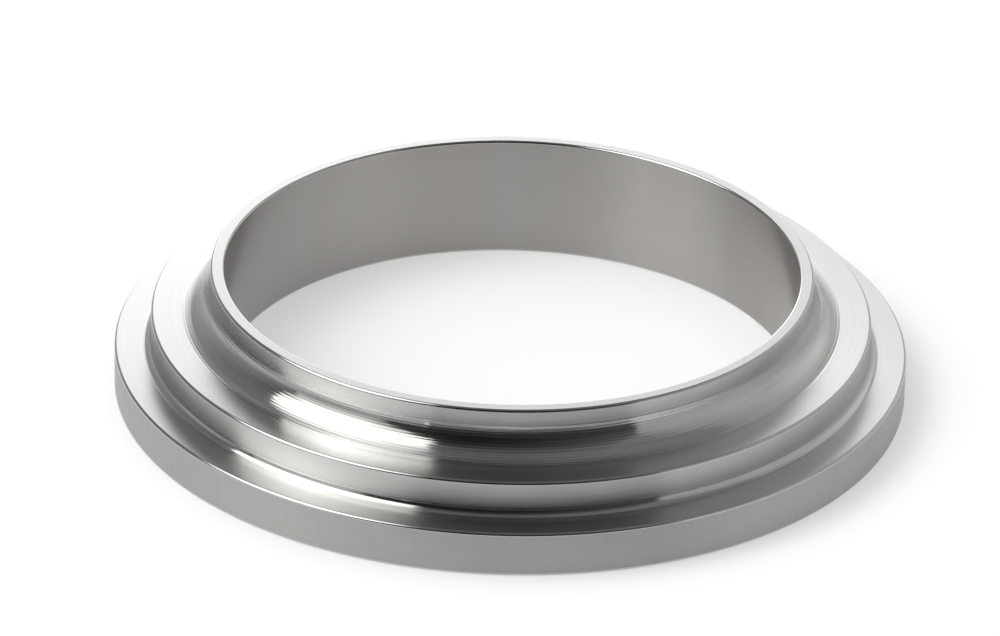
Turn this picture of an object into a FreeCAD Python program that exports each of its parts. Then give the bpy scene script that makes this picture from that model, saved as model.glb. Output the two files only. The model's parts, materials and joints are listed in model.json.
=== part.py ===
"""Weld liner: the flanged ring that is welded to the end of a tube and drawn up by a union nut.

One turned piece of stainless steel. Millimetres, +Z up along the bore, origin at the centre of
the flat sealing face that the ring stands on. The neck at the top is welded to the tube.
"""
import FreeCAD
import Part
import math
import os

# Tube that the neck is welded to
tube_outer_diameter = 51.0
tube_wall = 1.2

# Neck: the straight land beside the weld, and the large fillet at its root
neck_land = 1.45
neck_fillet = 2.5

# Step: the flat ring round the fillet, its height over the rim, and the fillet at its foot
step_flat_width = 2.5
step_rise = 3.0
step_foot_fillet = 0.7

# Rim: how far it stands out past the step, and its thickness
rim_overhang = 3.1
rim_thickness = 3.85

# Sharp edges broken by the turning tool, outside and in the bore
edge_break = 0.22
bore_edge_break = 0.2

# Radii and heights worked out from the sizes above
neck_radius = tube_outer_diameter / 2
bore_radius = neck_radius - tube_wall
step_radius = neck_radius + neck_fillet + step_flat_width
rim_radius = step_radius + rim_overhang
step_height = rim_thickness + step_rise
height = step_height + neck_fillet + neck_land


def chamfer(before, corner, after, leg):
    """Flat across a corner of the section, which takes the same length off both sides."""
    start = corner + (before - corner).normalize() * leg
    end = corner + (after - corner).normalize() * leg
    return Part.LineSegment(start, end)


def fillet(before, corner, after, radius):
    """Arc that meets both sides of a corner of the section without a break."""
    to_before = (before - corner).normalize()
    to_after = (after - corner).normalize()
    half_angle = to_before.getAngle(to_after) / 2
    setback = radius / math.tan(half_angle)
    to_middle = radius / math.sin(half_angle) - radius
    middle = corner + (to_before + to_after).normalize() * to_middle
    return Part.Arc(corner + to_before * setback, middle, corner + to_after * setback)


def turned_section(corners):
    """Closed face through the corners, with each corner's own chamfer or fillet, in the XZ plane."""
    points = [FreeCAD.Vector(radius, 0, z) for radius, z, _, _ in corners]
    count = len(points)
    turns = []
    for i, (_, _, turn, size) in enumerate(corners):
        turns.append(turn(points[i - 1], points[i], points[(i + 1) % count], size))
    edges = []
    for i, turn in enumerate(turns):
        following = turns[(i + 1) % count]
        edges.append(turn.toShape())
        edges.append(Part.LineSegment(turn.EndPoint, following.StartPoint).toShape())
    return Part.Face(Part.Wire(edges))


def make_weld_liner():
    """The ring's stepped section, turned once about the bore's axis."""
    section = turned_section([
        (bore_radius, 0, chamfer, bore_edge_break),
        (rim_radius, 0, chamfer, edge_break),
        (rim_radius, rim_thickness, chamfer, edge_break),
        (step_radius, rim_thickness, fillet, step_foot_fillet),
        (step_radius, step_height, chamfer, edge_break),
        (neck_radius, step_height, fillet, neck_fillet),
        (neck_radius, height, chamfer, edge_break),
        (bore_radius, height, chamfer, bore_edge_break),
    ])
    bore_axis = FreeCAD.Vector(0, 0, 1)
    return section.revolve(FreeCAD.Vector(0, 0, 0), bore_axis, 360)


os.makedirs("parts", exist_ok=True)
weld_liner = make_weld_liner()
weld_liner.exportStep("parts/weld_liner.step")
print(f"weld_liner: valid {weld_liner.isValid()}, solids {len(weld_liner.Solids)}, "
      f"volume {weld_liner.Volume:.1f} mm3, rim diameter {2 * rim_radius:.1f}, height {height:.2f}")
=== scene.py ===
import bisect
import json
import math

import bmesh
import bpy
from bpy.props import FloatProperty, FloatVectorProperty, IntProperty, PointerProperty
from bpy.types import Operator, Panel, PropertyGroup
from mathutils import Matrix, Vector


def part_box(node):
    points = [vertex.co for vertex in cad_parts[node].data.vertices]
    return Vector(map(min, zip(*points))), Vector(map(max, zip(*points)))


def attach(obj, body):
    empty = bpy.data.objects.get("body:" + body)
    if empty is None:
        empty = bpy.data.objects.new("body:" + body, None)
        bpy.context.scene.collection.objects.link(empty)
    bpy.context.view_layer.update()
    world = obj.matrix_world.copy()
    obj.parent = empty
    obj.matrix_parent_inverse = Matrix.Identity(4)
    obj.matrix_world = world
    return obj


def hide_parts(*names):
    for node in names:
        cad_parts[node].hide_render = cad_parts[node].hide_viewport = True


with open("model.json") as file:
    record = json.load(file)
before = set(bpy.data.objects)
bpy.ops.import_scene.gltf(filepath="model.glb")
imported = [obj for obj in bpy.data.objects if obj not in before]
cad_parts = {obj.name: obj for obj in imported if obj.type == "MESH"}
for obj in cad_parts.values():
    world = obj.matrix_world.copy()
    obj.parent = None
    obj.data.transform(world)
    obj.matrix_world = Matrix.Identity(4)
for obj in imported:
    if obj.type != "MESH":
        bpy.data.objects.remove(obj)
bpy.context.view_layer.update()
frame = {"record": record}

bl_info = {
    "name": "Weld Liner",
    "version": (1, 0, 0),
    "blender": (4, 5, 0),
    "location": "3D Viewport > Sidebar > Weld Liner",
    "description": "Turned steel weld liner in a pale studio",
    "category": "Object",
}

NODE = "weld_liner"
BAKE_MAP = "OFBake"
TURNING_MAP = "Turning"
MILLIMETRE = 0.001

# Sizes of the ring's section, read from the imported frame, in metres
MOUNTS = {mount["name"]: mount for mount in frame["record"]["mounts"]}
RING_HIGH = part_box(NODE)[1]


def mount_radius(name):
    """Radius of a round mount."""
    return MOUNTS[name]["dims"]["r_mm"] * MILLIMETRE


def mount_height(name):
    """Height of a mount's point over the sealing face."""
    return MOUNTS[name]["pos_m"][2]


def mount_half_length(name):
    """Half the length of a round mount's wall."""
    return MOUNTS[name]["dims"]["length_mm"] * MILLIMETRE / 2


HEIGHT = RING_HIGH[2]
RIM_THICKNESS = mount_height("nut_shoulder")
EDGE_BREAK = HEIGHT - mount_height("weld_neck") - mount_half_length("weld_neck")
STEP_HEIGHT = mount_height("nut_seat") + mount_half_length("nut_seat") + EDGE_BREAK
NECK_FILLET = mount_height("weld_neck") - mount_half_length("weld_neck") - STEP_HEIGHT
FOOT_FILLET = mount_height("nut_seat") - mount_half_length("nut_seat") - RIM_THICKNESS
BORE_EDGE_BREAK = HEIGHT / 2 - mount_half_length("bore")

# Segments of a broken edge, of the fillet at the foot of the step and of the neck's large fillet
EDGE_SEGMENTS = 6
FOOT_SEGMENTS = 12
NECK_SEGMENTS = 24

# Feed of the turning tool, the share of its even marks, and how far an uneven mark reaches round
FEED_MM = 0.25
FEED_SHARE = 0.1
MARK_REACH = 0.02

# Turn of the anisotropic highlight, so that it is drawn out across the marks
ACROSS_THE_MARKS = 0.25

# Range that a noise keeps to nearly everywhere
NOISE_LOW = 0.3
NOISE_HIGH = 0.7

# Breadth of the soft patches on turned and on satin steel, and how far they change the roughness
CLOUD_BREADTH = 0.005
CLOUD_ROUGHNESS = 0.07
SATIN_CLOUD_BREADTH = 0.012
SATIN_CLOUD_ROUGHNESS = 0.06

# Cuts that bend a panel onto its sphere, so that nearer panels stay in front all over
PANEL_CUTS = 5

# Glow at a panel's centre past which it lights the scene as a lamp, and isn't only mirrored
LAMP_GLOW = 0.3

# Glow of the tent at the horizon, and what is added overhead, to the right and at the back
TENT_GLOW = 0.08
TENT_GLOW_UP = 0.07
TENT_GLOW_RIGHT = 0.2
TENT_GLOW_BACK = 0.12

# Panels round the part. The reach is a share of the panel distance. The centre and the corners
# are azimuth and elevation in degrees, as seen from the part, and the glow there.
PANELS = {
    "key_softbox": {
        "reach": 0.925,
        "tint": (1.0, 1.0, 0.965),
        "centre": (-79, 46, 5.4),
        "corners": (
            (-75, 0.8, 0.25), (-66, 0.8, 0.25), (-57.5, 0.8, 0.25), (-45, 0.8, 0.15), (-42, 20, 0.5),
            (-38, 30, 0.8), (-35.5, 38, 1.1), (-33, 46, 1.4), (-35, 56, 1.7), (-45, 63, 2.0),
            (-55, 70, 1.7), (-75, 75, 1.1), (-105, 78, 0.7), (-133, 75, 0.7), (-150, 70, 0.75),
            (-162, 61, 0.8), (-163, 53, 0.6), (-153, 49, 0.5), (-136, 50, 0.9), (-122, 47, 1.5),
            (-109, 40.5, 2.2), (-98.5, 33.5, 2.2), (-92.5, 26, 1.2), (-84, 14, 0.4), (-81, 6, 0.3),
            (-80.5, 0.8, 0.3),
        ),
    },
    "backdrop": {
        "reach": 0.975,
        "tint": (0.97, 0.985, 1.0),
        "centre": (-175, 20, 3.75),
        "corners": (
            (160, 1, 0.6), (160, 16, 0.55), (164, 27, 0.5), (170, 33, 0.42), (180, 34.5, 0.42),
            (-168, 34.5, 0.4), (-158, 29, 0.4), (-156, 12, 0.6), (-156, 1, 0.6), (-165, 1, 1.3),
            (180, 1, 1.4), (170, 1, 0.9),
        ),
    },
    "right_glow": {
        "reach": 1.0,
        "tint": (1.0, 0.99, 0.97),
        "centre": (145, 23, 0.9),
        "corners": (
            (104, 4, 0.54), (106, 32, 0.54), (122, 44, 0.5), (150, 47, 0.42), (167, 42, 0.42),
            (168, 4, 0.5), (150, 2, 0.6), (135, 2, 0.62),
        ),
    },
    "right_reflector": {
        "reach": 1.05,
        "tint": (1.0, 0.99, 0.97),
        "centre": (103.6, 30, 0.58),
        "corners": (
            (46, 0.5, 0.48), (46.5, 16, 0.48), (50, 33, 0.4), (62, 46, 0.34), (90, 52, 0.36),
            (120, 53, 0.42), (150, 50, 0.38), (172, 42, 0.38), (174, 0.5, 0.6), (120, 0.5, 0.54),
            (80, 0.5, 0.54),
        ),
    },
    "left_reflector": {
        "reach": 1.05,
        "tint": (1.0, 0.98, 0.96),
        "centre": (-128, 25, 0.25),
        "corners": (
            (-82, 0.5, 0.24), (-84, 10, 0.22), (-94, 18, 0.14), (-100, 30, 0.15), (-112, 40, 0.2),
            (-128, 48, 0.21), (-152, 50, 0.22), (-170, 46, 0.3), (-170, 0.5, 0.7), (-150, 0.5, 0.55),
            (-120, 0.5, 0.36),
        ),
    },
    "front_dark": {
        "reach": 1.1,
        "tint": (1.0, 1.0, 1.0),
        "centre": (-8, 28, 0.012),
        "corners": (
            (-44, 0.2, 0.02), (-44, 50, 0.03), (-30, 62, 0.06), (0, 66, 0.08), (35, 62, 0.1),
            (50, 56, 0.12), (50, 30.7, 0.13), (47, 18, 0.1), (46, 0.2, 0.06),
        ),
    },
}

# Cloths on the floor. The lift is how far a cloth lies over the floor, in metres. The corners are
# x and y in metres, and the glow there.
CLOTHS = {
    "front_cloth_near": {
        "lift": 0.0002,
        "corners": (
            (-0.0207, -0.0512, 0.15), (0, -0.0563, 0.15), (0.0305, -0.0442, 0.15),
            (0.109, -0.122, 0.05), (-0.0657, -0.1316, 0.05),
        ),
    },
    "front_cloth": {
        "lift": 0.0002,
        "corners": (
            (-0.0657, -0.1316, 0.05), (0.109, -0.122, 0.05), (1.34, -1.34, 0.02), (-0.92, -1.66, 0.02),
        ),
    },
    "left_cloth": {
        "lift": 0.0001,
        "corners": (
            (-0.046, -0.012, 0.6), (-0.043, -0.0475, 0.5), (-0.0207, -0.0485, 0.4),
            (-0.92, -1.66, 0.15), (-1.85, -0.2, 0.35),
        ),
    },
    "back_left_cloth": {
        "lift": 0.0001,
        "corners": (
            (-0.046, -0.012, 0.6), (-1.85, -0.2, 0.4), (-1.0, 1.7, 0.55), (-0.052, 0.08, 0.55),
        ),
    },
    "right_cloth": {
        "lift": 0.0001,
        "corners": (
            (0.0325, -0.0475, 0.45), (1.34, -1.34, 0.5), (1.9, 0.2, 0.5), (0.9, 1.2, 0.5),
            (0.049, 0.075, 0.5), (0.042, -0.0475, 0.5),
        ),
    },
}


# Settings

def length(name, description, default):
    """A length that a user can change, in metres."""
    return FloatProperty(name=name, description=description, default=default, unit="LENGTH", precision=5)


def share(name, description, default):
    """A number from 0 to 1 that a user can change."""
    return FloatProperty(
        name=name, description=description, default=default, min=0, max=1, subtype="FACTOR")


def colour(name, description, default):
    """A colour that a user can change."""
    return FloatVectorProperty(
        name=name, description=description, default=default, subtype="COLOR", size=3, min=0, max=1)


class LinerSizes(PropertyGroup):
    """Radii and heights of the turned section."""

    bore_radius: length("Bore Radius", "Radius of the bore", mount_radius("bore"))
    neck_radius: length("Neck Radius", "Outer radius of the neck, as the tube's", mount_radius("weld_neck"))
    step_radius: length("Step Radius", "Radius of the step that centres the nut", mount_radius("nut_seat"))
    rim_radius: length("Rim Radius", "Outer radius of the rim", RING_HIGH[0])
    height: length("Height", "Height of the whole ring", HEIGHT)
    step_height: length("Step Height", "Height of the step's flat ring", STEP_HEIGHT)
    rim_thickness: length("Rim Thickness", "Height of the rim's upper face", RIM_THICKNESS)
    neck_fillet: length("Neck Fillet", "Radius of the large fillet at the root of the neck", NECK_FILLET)
    foot_fillet: length("Foot Fillet", "Radius of the fillet at the foot of the step", FOOT_FILLET)
    edge_break: length("Edge Break", "Radius of the broken outer edges", EDGE_BREAK)
    bore_edge_break: length("Bore Edge Break", "Radius of the bore's broken edges", BORE_EDGE_BREAK)
    steps_round: IntProperty(
        name="Steps Round", description="Steps of the section round the bore's axis", default=512, min=32)


class LinerFinish(PropertyGroup):
    """Colour and polish of the steel. The walls', rim side's and bore's colours are partly painted shade.
    """

    bright: colour("Bright Steel", "Colour of the faced flats", (0.62, 0.617, 0.61))
    # Darker than the flats, partly for the turned finish and partly as painted shade that stands in for the
    # dimmer floor the walls mirror
    wall: colour("Wall Steel", "Colour of the turned walls", (0.54, 0.537, 0.531))
    fillet: colour("Fillet Steel", "Colour of the fillets", (0.58, 0.577, 0.571))
    # Partly the rim's duller satin finish and partly painted shade that stands in for the shaded floor the
    # rim side mirrors
    satin: colour("Satin Steel", "Colour of the rim's side", (0.44, 0.437, 0.432))
    # Darker steel in the bore as painted shade that stands in for the shaded floor inside the ring, which
    # the bore mirrors
    bore: colour("Bore Steel", "Colour of the bore's wall", (0.425, 0.412, 0.4))
    face_roughness: share("Face Roughness", "Roughness of the faced flats", 0.2)
    wall_roughness: share("Wall Roughness", "Roughness of the neck's side and the weld face", 0.24)
    step_roughness: share("Step Roughness", "Roughness of the step's side", 0.3)
    fillet_roughness: share("Fillet Roughness", "Roughness of the fillets", 0.13)
    edge_roughness: share("Edge Roughness", "Roughness of the broken edges", 0.14)
    rim_roughness: share("Rim Roughness", "Roughness of the satin rim side", 0.5)
    bore_roughness: share("Bore Roughness", "Roughness of the bore's wall", 0.32)


class StudioLayout(PropertyGroup):
    """Camera, floor and lamps."""

    camera_place: FloatVectorProperty(
        name="Camera Place", description="Where the camera stands",
        default=(0, -0.50474, 0.26882), subtype="TRANSLATION", size=3)
    camera_turn: FloatVectorProperty(
        name="Camera Turn", description="How the camera is turned",
        default=(math.radians(62.4845), math.radians(-1.1998), math.radians(0.7320)),
        subtype="EULER", size=3)
    lens: FloatProperty(
        name="Lens", description="Focal length in millimetres, for a sensor 36 mm wide",
        default=241.585, unit="CAMERA")
    floor_colour: colour("Floor", "Colour of the floor", (0.975, 0.975, 0.97))
    floor_white: share("Floor White", "Share of plain white in what the camera and the steel see", 0.3)
    fill: share("Fill", "Strength of the even light from all round", 0.88)
    room_radius: length("Room Radius", "Radius of the floor and of the grey tent over it", 2.4)
    panel_distance: length("Panel Distance", "How far the soft panels stand from the part", 2.0)


# Section of the ring

def section_corners(sizes):
    """Corners of the section from the bore's foot outwards, each with its radius, height, rounding,
    segments, the finish of the rounding and the finish of the straight that follows it."""
    outer_edge = (sizes.edge_break, EDGE_SEGMENTS, "broken edge")
    bore_edge = (sizes.bore_edge_break, EDGE_SEGMENTS, "broken edge")
    step_foot = (sizes.foot_fillet, FOOT_SEGMENTS, "fillet")
    neck_root = (sizes.neck_fillet, NECK_SEGMENTS, "fillet")
    return (
        (sizes.bore_radius, 0, *bore_edge, "faced flat"),
        (sizes.rim_radius, 0, *outer_edge, "satin rim"),
        (sizes.rim_radius, sizes.rim_thickness, *outer_edge, "faced flat"),
        (sizes.step_radius, sizes.rim_thickness, *step_foot, "step side"),
        (sizes.step_radius, sizes.step_height, *outer_edge, "faced flat"),
        (sizes.neck_radius, sizes.step_height, *neck_root, "neck side"),
        (sizes.neck_radius, sizes.height, *outer_edge, "weld face"),
        (sizes.bore_radius, sizes.height, *bore_edge, "bore wall"),
    )


def rounded_section(bm, corners):
    """Sheet of the section, whose corners a vertex bevel turns into arcs."""
    facing = bm.verts.layers.float_vector.new("facing")
    places = [Vector((radius, 0, z)) for radius, z, *_ in corners]
    points = [bm.verts.new(place) for place in places]
    bm.faces.new(points)
    for i, (point, (_, _, rounding, segments, _, _)) in enumerate(zip(points, corners)):
        arc = bmesh.ops.bevel(
            bm, geom=[point], offset=rounding, segments=segments, profile=0.5,
            affect="VERTICES", material=-1)
        following = places[(i + 1) % len(places)]
        mark_facing(arc["verts"], facing, places[i - 1], places[i], following, rounding)
    bm.faces.ensure_lookup_table()
    return bm.faces[0]


def mark_facing(arc, layer, before, corner, after, rounding):
    """Stores on each point of an arc which way the steel's face looks there."""
    to_before = (before - corner).normalized()
    to_after = (after - corner).normalized()
    centre = corner + (to_before + to_after) * rounding
    is_bulge = to_before.cross(to_after).y > 0
    for vert in arc:
        outwards = (vert.co - centre).normalized()
        vert[layer] = outwards if is_bulge else -outwards


def mark_distance(bm, sheet):
    """Stores on each vertex its distance along the section, and returns the whole length."""
    layer = bm.verts.layers.float.new("along")
    distance = 0
    for loop in sheet.loops:
        loop.vert[layer] = distance
        distance += loop.edge.calc_length()
    return distance


def stretch_ends(corners):
    """Distance at which each rounding and each straight of the section ends, and their finishes."""
    ends = []
    finishes = []
    distance = 0
    for i, (radius, z, rounding, _, corner_finish, straight_finish) in enumerate(corners):
        next_radius, next_z, next_rounding = corners[(i + 1) % len(corners)][:3]
        distance += rounding * math.pi / 2
        ends.append(distance)
        finishes.append(corner_finish)
        distance += abs(next_radius - radius) + abs(next_z - z) - rounding - next_rounding
        ends.append(distance)
        finishes.append(straight_finish)
    return ends, finishes


def turn_section(bm, steps):
    """Spins the section's outline once about the bore's axis and points the faces outwards."""
    bmesh.ops.delete(bm, geom=bm.faces[:], context="FACES_ONLY")
    bmesh.ops.spin(
        bm, geom=bm.verts[:] + bm.edges[:], cent=(0, 0, 0), axis=(0, 0, 1), dvec=(0, 0, 0),
        angle=math.tau, steps=steps, use_merge=True)
    bmesh.ops.recalc_face_normals(bm, faces=bm.faces[:])
    sort_faces(bm)


def sort_faces(bm):
    """Sorts the faces by their lowest and highest vertex, because the spin leaves them in an order
    that changes from run to run."""
    bm.verts.index_update()
    count = len(bm.verts)

    def rank(face):
        numbers = [vert.index for vert in face.verts]
        return min(numbers) * count + max(numbers)

    bm.faces.sort(key=rank)


def nearest_turn(value, near, whole):
    """A value moved by whole turns to lie nearest to another."""
    return value + round((near - value) / whole) * whole


def lay_maps(bm, whole):
    """One map that counts turns and millimetres along the section, and one that fills the bake."""
    along = bm.verts.layers.float["along"]
    turning = bm.loops.layers.uv.new(TURNING_MAP)
    bake = bm.loops.layers.uv.new(BAKE_MAP)
    for face in bm.faces:
        middle = face.calc_center_median()
        middle_angle = math.atan2(middle.y, middle.x) % math.tau
        furthest = max(vert[along] for vert in face.verts)
        for loop in face.loops:
            place = loop.vert.co
            angle = nearest_turn(math.atan2(place.y, place.x), middle_angle, math.tau)
            distance = loop.vert[along]
            if furthest - distance > whole / 2:
                distance += whole
            loop[turning].uv = (angle / math.tau, distance / MILLIMETRE)
            loop[bake].uv = (angle / math.tau, distance / whole)


def turned_facing(bm):
    """Which way the face looks at each point of the ring, turned round with the point."""
    layer = bm.verts.layers.float_vector["facing"]
    directions = []
    for vert in bm.verts:
        outwards, _, up = vert[layer]
        round_axis = vert.co.xy.normalized()
        directions.append((outwards * round_axis.x, outwards * round_axis.y, up))
    return directions


def give_finishes(bm, corners, order):
    """Gives each face the material of its stretch of the section."""
    along = bm.verts.layers.float["along"]
    ends, finishes = stretch_ends(corners)
    for face in bm.faces:
        face.smooth = True
        distances = [vert[along] for vert in face.verts]
        middle = (max(distances) + min(distances)) / 2
        if max(distances) - min(distances) > ends[-1] / 2:
            middle = (max(distances) + ends[-1]) / 2
        stretch = min(bisect.bisect(ends, middle), len(ends) - 1)
        face.material_index = order.index(finishes[stretch])


def turned_ring(sizes, finish):
    """The whole ring as one piece, with a material for each kind of finish."""
    materials = steel_materials(finish)
    corners = section_corners(sizes)
    bm = bmesh.new()
    whole = mark_distance(bm, rounded_section(bm, corners))
    turn_section(bm, sizes.steps_round)
    lay_maps(bm, whole)
    give_finishes(bm, corners, list(materials))
    directions = turned_facing(bm)
    mesh = bpy.data.meshes.new("weld_liner_steel")
    bm.to_mesh(mesh)
    bm.free()
    mesh.normals_split_custom_set_from_vertices(directions)
    for material in materials.values():
        mesh.materials.append(material)
    ring = bpy.data.objects.new("weld_liner_steel", mesh)
    bpy.context.collection.objects.link(ring)
    return ring


# Materials

class Surface:
    """A material's node tree, with short calls to build it."""

    def __init__(self, name):
        self.material = bpy.data.materials.new(name)
        self.material.use_nodes = True
        self.tree = self.material.node_tree
        self.tree.nodes.clear()

    def add(self, kind, inputs=None, **settings):
        """Adds a node, sets its options, and sets or links its inputs."""
        node = self.tree.nodes.new(kind)
        for option, value in settings.items():
            setattr(node, option, value)
        for socket, value in (inputs or {}).items():
            if isinstance(value, bpy.types.NodeSocket):
                self.tree.links.new(value, node.inputs[socket])
            else:
                node.inputs[socket].default_value = value
        return node

    def compute(self, operation, *values):
        """Adds a Math node and returns its result."""
        return self.add("ShaderNodeMath", dict(enumerate(values)), operation=operation).outputs[0]

    def finish(self, shader):
        """Links the shader to the output and returns the material."""
        self.add("ShaderNodeOutputMaterial", {"Surface": shader})
        return self.material


def turning_place(surface):
    """Turns round the axis and millimetres along the section, as two sockets."""
    turning = surface.add("ShaderNodeUVMap", uv_map=TURNING_MAP)
    parts = surface.add("ShaderNodeSeparateXYZ", {"Vector": turning.outputs["UV"]})
    return parts.outputs["X"], parts.outputs["Y"]


def tool_marks(surface, pitch_mm):
    """Fine rings that the turning tool leaves: even feed marks, and uneven ones that change slowly
    on their way round."""
    _, along = turning_place(surface)
    place = surface.add("ShaderNodeTexCoord")
    sides = surface.add("ShaderNodeSeparateXYZ", {"Vector": place.outputs["Object"]})
    stretched = surface.add("ShaderNodeCombineXYZ", {
        "X": surface.compute("MULTIPLY", sides.outputs["X"], 1 / MARK_REACH),
        "Y": surface.compute("MULTIPLY", sides.outputs["Y"], 1 / MARK_REACH),
        "Z": surface.compute("MULTIPLY", along, 1 / pitch_mm),
    })
    uneven = surface.add(
        "ShaderNodeTexNoise",
        {"Vector": stretched.outputs["Vector"], "Scale": 1, "Detail": 1, "Roughness": 0.5})
    feed = surface.compute("SINE", surface.compute("MULTIPLY", along, math.tau / FEED_MM))
    return surface.compute("MULTIPLY_ADD", feed, FEED_SHARE, uneven.outputs["Fac"])


def soft_clouds(surface, breadth):
    """Broad uneven patches from 0 to 1, four times as long up the bore's axis as round it."""
    place = surface.add("ShaderNodeTexCoord")
    stretched = surface.add(
        "ShaderNodeMapping", {"Vector": place.outputs["Object"], "Scale": (1, 1, 0.25)})
    clouds = surface.add(
        "ShaderNodeTexNoise",
        {"Vector": stretched.outputs["Vector"], "Scale": 1 / breadth, "Detail": 3, "Roughness": 0.5})
    return clouds.outputs["Fac"]


def between(surface, amount, low, high):
    """A number that goes from low to high as a noise goes through most of its range."""
    spread = surface.add("ShaderNodeMapRange", {
        "Value": amount,
        "From Min": NOISE_LOW,
        "From Max": NOISE_HIGH,
        "To Min": low,
        "To Max": high,
    })
    return spread.outputs["Result"]


def uneven_colour(surface, amount, colour_value, spread):
    """A colour that varies a little around its value, warmer where it is darker."""
    warmth = (0.9, 1.0, 1.15)
    dark = [channel * (1 - spread * warm) for channel, warm in zip(colour_value, warmth)]
    light = [min(channel * (1 + spread * warm), 1) for channel, warm in zip(colour_value, warmth)]
    mixed = surface.add(
        "ShaderNodeMix",
        {"Factor": between(surface, amount, 0, 1), "A": (*dark, 1), "B": (*light, 1)},
        data_type="RGBA")
    return mixed.outputs["Result"]


def uneven_roughness(surface, amount, roughness, spread):
    """A roughness that varies a little around its value."""
    return between(surface, amount, roughness * (1 - spread), roughness * (1 + spread))


def steel_shader(surface, base, roughness, anisotropy, heights, depth_m):
    """Bare steel with a shallow relief, whose highlight is drawn out across the marks."""
    relief = surface.add("ShaderNodeBump", {"Height": heights, "Distance": depth_m, "Strength": 1})
    tangent = surface.add("ShaderNodeTangent", direction_type="UV_MAP", uv_map=TURNING_MAP)
    steel = surface.add("ShaderNodeBsdfPrincipled", {
        "Base Color": base,
        "Metallic": 1.0,
        "Roughness": roughness,
        "Anisotropic": anisotropy,
        "Anisotropic Rotation": ACROSS_THE_MARKS,
        "Tangent": tangent.outputs["Tangent"],
        "Normal": relief.outputs["Normal"],
    })
    return surface.finish(steel.outputs["BSDF"])


def turned_steel(name, colour_value, roughness, anisotropy, pitch_mm, depth_m, spread, marks_share=0.5):
    """Steel cut by a turning tool, shaded by fine rings for their share and by soft clouds."""
    surface = Surface(name)
    clouds = soft_clouds(surface, CLOUD_BREADTH)
    marks = tool_marks(surface, pitch_mm)
    shade = surface.compute(
        "MULTIPLY_ADD", marks, marks_share, surface.compute("MULTIPLY", clouds, 1 - marks_share))
    base = uneven_colour(surface, shade, colour_value, spread)
    rough = uneven_roughness(surface, clouds, roughness, CLOUD_ROUGHNESS)
    return steel_shader(surface, base, rough, anisotropy, marks, depth_m)


def satin_steel(name, colour_value, roughness, anisotropy, streaks_round, streak_mm, depth_m, spread):
    """Steel with a dull polish, whose faint streaks run along the bore's axis."""
    surface = Surface(name)
    turns, along = turning_place(surface)
    stretched = surface.add("ShaderNodeCombineXYZ", {
        "X": surface.compute("MULTIPLY", turns, streaks_round),
        "Y": surface.compute("MULTIPLY", along, 1 / streak_mm),
    })
    streaks = surface.add(
        "ShaderNodeTexNoise",
        {"Vector": stretched.outputs["Vector"], "Scale": 1, "Detail": 4, "Roughness": 0.6})
    base = uneven_colour(surface, streaks.outputs["Fac"], colour_value, spread)
    clouds = soft_clouds(surface, SATIN_CLOUD_BREADTH)
    rough = uneven_roughness(surface, clouds, roughness, SATIN_CLOUD_ROUGHNESS)
    return steel_shader(surface, base, rough, anisotropy, streaks.outputs["Fac"], depth_m)


def steel_materials(finish):
    """A material for each kind of finish on the ring."""
    bright = tuple(finish.bright)
    # The wall, satin and bore colours are darker than the bright flats, partly as painted shade for the
    # dimmer floor that these faces mirror
    wall = tuple(finish.wall)
    return {
        "faced flat": turned_steel(
            "faced_flat", bright, finish.face_roughness,
            anisotropy=0.93, pitch_mm=0.2, depth_m=2e-6, spread=0.03),
        "step side": turned_steel(
            "step_side", wall, finish.step_roughness,
            anisotropy=0.9, pitch_mm=0.22, depth_m=8e-6, spread=0.04),
        "neck side": turned_steel(
            "neck_side", wall, finish.wall_roughness,
            anisotropy=0.88, pitch_mm=0.22, depth_m=2e-6, spread=0.04),
        "fillet": turned_steel(
            "fillet", tuple(finish.fillet), finish.fillet_roughness,
            anisotropy=0.9, pitch_mm=0.18, depth_m=20e-6, spread=0.06),
        "broken edge": turned_steel(
            "broken_edge", wall, finish.edge_roughness,
            anisotropy=0.3, pitch_mm=0.2, depth_m=1e-6, spread=0.02),
        "weld face": turned_steel(
            "weld_face", wall, finish.wall_roughness,
            anisotropy=0.5, pitch_mm=0.25, depth_m=2e-6, spread=0.03),
        "satin rim": satin_steel(
            "satin_rim", tuple(finish.satin), finish.rim_roughness,
            anisotropy=0.6, streaks_round=300, streak_mm=3, depth_m=1e-6, spread=0.03),
        "bore wall": turned_steel(
            "bore_wall", tuple(finish.bore), finish.bore_roughness,
            anisotropy=0.95, pitch_mm=0.3, depth_m=1e-6, spread=0.07, marks_share=0.15),
    }


# Studio

def direction(azimuth, elevation):
    """Unit vector: azimuth 0 points from the part to the camera, 90 to the right of the picture."""
    turn = math.radians(azimuth)
    rise = math.radians(elevation)
    return Vector((math.sin(turn) * math.cos(rise), -math.cos(turn) * math.cos(rise), math.sin(rise)))


def stage_object(name, bm, material):
    """Makes an object of the studio out of its mesh and material."""
    mesh = bpy.data.meshes.new(name)
    bm.to_mesh(mesh)
    bm.free()
    mesh.materials.append(material)
    thing = bpy.data.objects.new(name, mesh)
    bpy.context.collection.objects.link(thing)
    return thing


def glow_material(name, tint, is_lamp):
    """Light whose strength is stored on the mesh as glow. A dim one isn't aimed at as a lamp."""
    surface = Surface(name)
    strength = surface.add("ShaderNodeAttribute", attribute_name="glow")
    light = surface.add(
        "ShaderNodeEmission", {"Color": (*tint, 1), "Strength": strength.outputs["Fac"]})
    material = surface.finish(light.outputs["Emission"])
    if not is_lamp:
        material.cycles.emission_sampling = "NONE"
    return material


def glowing_thing(name, bm, tint, is_lamp):
    """A panel, a cloth or the tent: out of the camera's sight, and without light of its own on the
    floor unless it is a lamp."""
    thing = stage_object(name, bm, glow_material(name, tint, is_lamp))
    thing.visible_camera = False
    thing.visible_diffuse = is_lamp
    return thing


def glowing_corner(bm, layer, azimuth, elevation, strength, distance):
    """Corner of a panel, with the root of the strength of the light there."""
    point = bm.verts.new(direction(azimuth, elevation) * distance)
    point[layer] = math.sqrt(strength)
    return point


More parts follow.
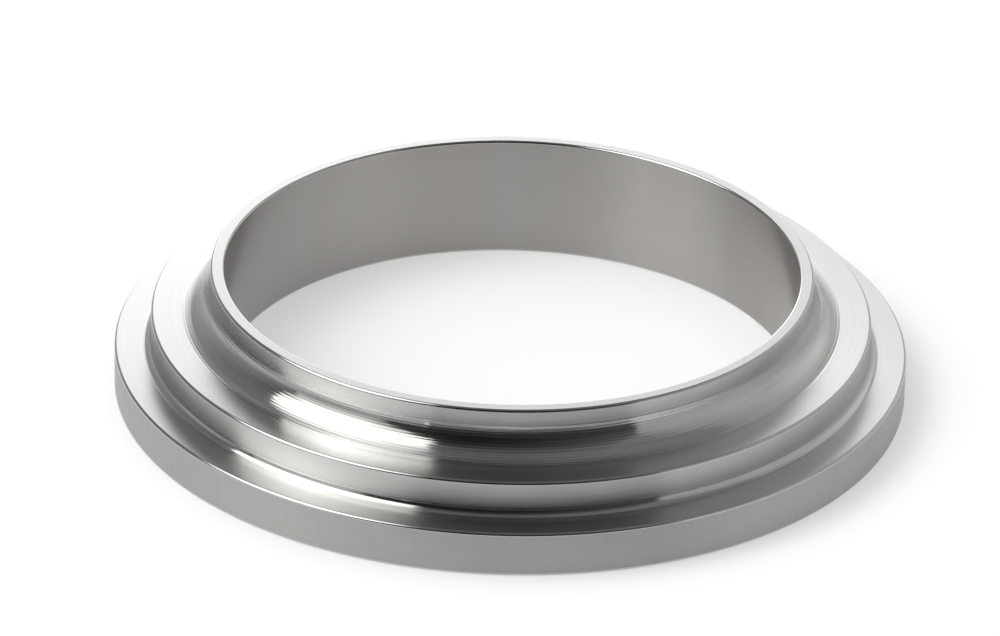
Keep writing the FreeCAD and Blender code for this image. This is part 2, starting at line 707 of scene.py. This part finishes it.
def soft_panel(name, distance, tint, centre, corners):
    """A panel on a sphere round the part. Its light falls off from the centre as on a sheet with
    one lamp behind it."""
    bm = bmesh.new()
    glow = bm.verts.layers.float.new("glow")
    middle = glowing_corner(bm, glow, *centre, distance)
    points = [glowing_corner(bm, glow, *corner, distance) for corner in corners]
    for i, point in enumerate(points):
        bm.faces.new((middle, points[i - 1], point))
    bmesh.ops.subdivide_edges(bm, edges=bm.edges[:], cuts=PANEL_CUTS, use_grid_fill=True)
    for vert in bm.verts:
        vert.co = vert.co.normalized() * distance
        vert[glow] = vert[glow] ** 2
    glowing_thing(name, bm, tint, is_lamp=centre[2] > LAMP_GLOW)


def make_panels(studio):
    """The key softbox, the reflectors, the dark card in front and the bright backdrop."""
    for name, panel in PANELS.items():
        distance = studio.panel_distance * panel["reach"]
        soft_panel(name, distance, panel["tint"], panel["centre"], panel["corners"])


def make_cloths():
    """Dim cloths on the floor in front and to the sides, out of the picture and without a shadow."""
    for name, sheet in CLOTHS.items():
        bm = bmesh.new()
        glow = bm.verts.layers.float.new("glow")
        points = []
        for x, y, strength in sheet["corners"]:
            point = bm.verts.new((x, y, sheet["lift"]))
            point[glow] = strength
            points.append(point)
        bm.faces.new(points)
        cloth = glowing_thing(name, bm, (1, 1, 1), is_lamp=False)
        cloth.visible_shadow = False


def make_tent(studio):
    """Grey tent over the floor, a little lighter overhead, to the right and at the back."""
    bm = bmesh.new()
    bmesh.ops.create_uvsphere(bm, u_segments=48, v_segments=24, radius=studio.room_radius)
    bmesh.ops.bisect_plane(
        bm, geom=bm.verts[:] + bm.edges[:] + bm.faces[:], plane_co=(0, 0, 0), plane_no=(0, 0, 1),
        clear_inner=True)
    glow = bm.verts.layers.float.new("glow")
    for vert in bm.verts:
        right, back, up = vert.co / studio.room_radius
        sideways = TENT_GLOW_RIGHT * max(right, 0) + TENT_GLOW_BACK * max(back, 0)
        vert[glow] = TENT_GLOW + TENT_GLOW_UP * up + sideways
    glowing_thing("grey_tent", bm, (1, 1, 1), is_lamp=False)


def white_share(surface):
    """1 for what the camera, a reflection or a view through glass sees, 0 for the light itself."""
    path = surface.add("ShaderNodeLightPath")
    seen = surface.compute("MAXIMUM", path.outputs["Is Camera Ray"], path.outputs["Is Glossy Ray"])
    return surface.compute("MAXIMUM", seen, path.outputs["Is Transmission Ray"])


def floor_material(studio):
    """Pale floor that comes out nearly white and keeps a faint shadow of the ring."""
    surface = Surface("pale_floor")
    white = surface.add("ShaderNodeEmission", {"Color": (1, 1, 1, 1), "Strength": 1})
    pale = surface.add("ShaderNodeBsdfDiffuse", {"Color": (*studio.floor_colour, 1)})
    mixed = surface.add("ShaderNodeMixShader", {
        0: surface.compute("MULTIPLY", white_share(surface), studio.floor_white),
        1: pale.outputs["BSDF"],
        2: white.outputs["Emission"],
    })
    return surface.finish(mixed.outputs["Shader"])


def make_floor(studio):
    """Round floor that the ring stands on."""
    bm = bmesh.new()
    bmesh.ops.create_circle(bm, cap_ends=True, segments=96, radius=studio.room_radius)
    stage_object("floor", bm, floor_material(studio))


class WorldSurface(Surface):
    """The world's node tree, built with the same calls."""

    def __init__(self, world):
        world.use_nodes = True
        self.tree = world.node_tree
        self.tree.nodes.clear()


def make_world(studio):
    """White wherever the camera, a reflection or a view through glass looks, and a dim fill."""
    world = bpy.data.worlds.new("white_studio")
    bpy.context.scene.world = world
    surface = WorldSurface(world)
    white = surface.add("ShaderNodeBackground", {"Color": (1, 1, 1, 1), "Strength": 1})
    fill = surface.add("ShaderNodeBackground", {"Color": (1, 1, 1, 1), "Strength": studio.fill})
    mixed = surface.add("ShaderNodeMixShader", {
        0: white_share(surface),
        1: fill.outputs["Background"],
        2: white.outputs["Background"],
    })
    surface.add("ShaderNodeOutputWorld", {"Surface": mixed.outputs["Shader"]})


def make_camera(studio):
    """Camera at the photograph's angle."""
    data = bpy.data.cameras.new("camera")
    data.sensor_fit = "HORIZONTAL"
    data.sensor_width = 36
    data.lens = studio.lens
    data.clip_start = 0.01
    data.clip_end = 10
    camera = bpy.data.objects.new("camera", data)
    camera.location = studio.camera_place
    camera.rotation_euler = studio.camera_turn
    bpy.context.collection.objects.link(camera)
    bpy.context.scene.camera = camera


# Add-on classes

class WELDLINER_OT_turn_ring(Operator):
    """Turns the ring from its section and gives each stretch its finish"""

    bl_idname = "weld_liner.turn_ring"
    bl_label = "Turn Ring"

    def execute(self, context):
        ring = turned_ring(context.scene.liner_sizes, context.scene.liner_finish)
        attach(ring, "root")
        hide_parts(NODE)
        return {"FINISHED"}


class WELDLINER_OT_set_studio(Operator):
    """Sets up the camera, the floor, the panels and the white background"""

    bl_idname = "weld_liner.set_studio"
    bl_label = "Set Studio"

    def execute(self, context):
        studio = context.scene.liner_studio
        make_camera(studio)
        make_floor(studio)
        make_tent(studio)
        make_panels(studio)
        make_cloths()
        make_world(studio)
        context.scene.view_settings.view_transform = "Standard"
        return {"FINISHED"}


class WELDLINER_PT_sidebar(Panel):
    """Lists the sizes, the finishes and the steps that make the scene"""

    bl_idname = "WELDLINER_PT_sidebar"
    bl_label = "Weld Liner"
    bl_space_type = "VIEW_3D"
    bl_region_type = "UI"
    bl_category = "Weld Liner"

    def draw(self, context):
        layout = self.layout
        scene = context.scene
        for group in (scene.liner_sizes, scene.liner_finish, scene.liner_studio):
            box = layout.box()
            for name in group.bl_rna.properties.keys():
                if name not in {"rna_type", "name"}:
                    box.prop(group, name)
        layout.operator(WELDLINER_OT_turn_ring.bl_idname)
        layout.operator(WELDLINER_OT_set_studio.bl_idname)


CLASSES = (
    LinerSizes,
    LinerFinish,
    StudioLayout,
    WELDLINER_OT_turn_ring,
    WELDLINER_OT_set_studio,
    WELDLINER_PT_sidebar,
)


def register():
    """Registers the classes and hangs the settings on the scene."""
    for each in CLASSES:
        bpy.utils.register_class(each)
    bpy.types.Scene.liner_sizes = PointerProperty(type=LinerSizes)
    bpy.types.Scene.liner_finish = PointerProperty(type=LinerFinish)
    bpy.types.Scene.liner_studio = PointerProperty(type=StudioLayout)


def unregister():
    """Takes the settings and the classes away again."""
    del bpy.types.Scene.liner_studio
    del bpy.types.Scene.liner_finish
    del bpy.types.Scene.liner_sizes
    for each in reversed(CLASSES):
        bpy.utils.unregister_class(each)


def main():
    """Makes the ring and its studio."""
    register()
    bpy.ops.weld_liner.turn_ring()
    bpy.ops.weld_liner.set_studio()


if __name__ == "__main__":
    main()
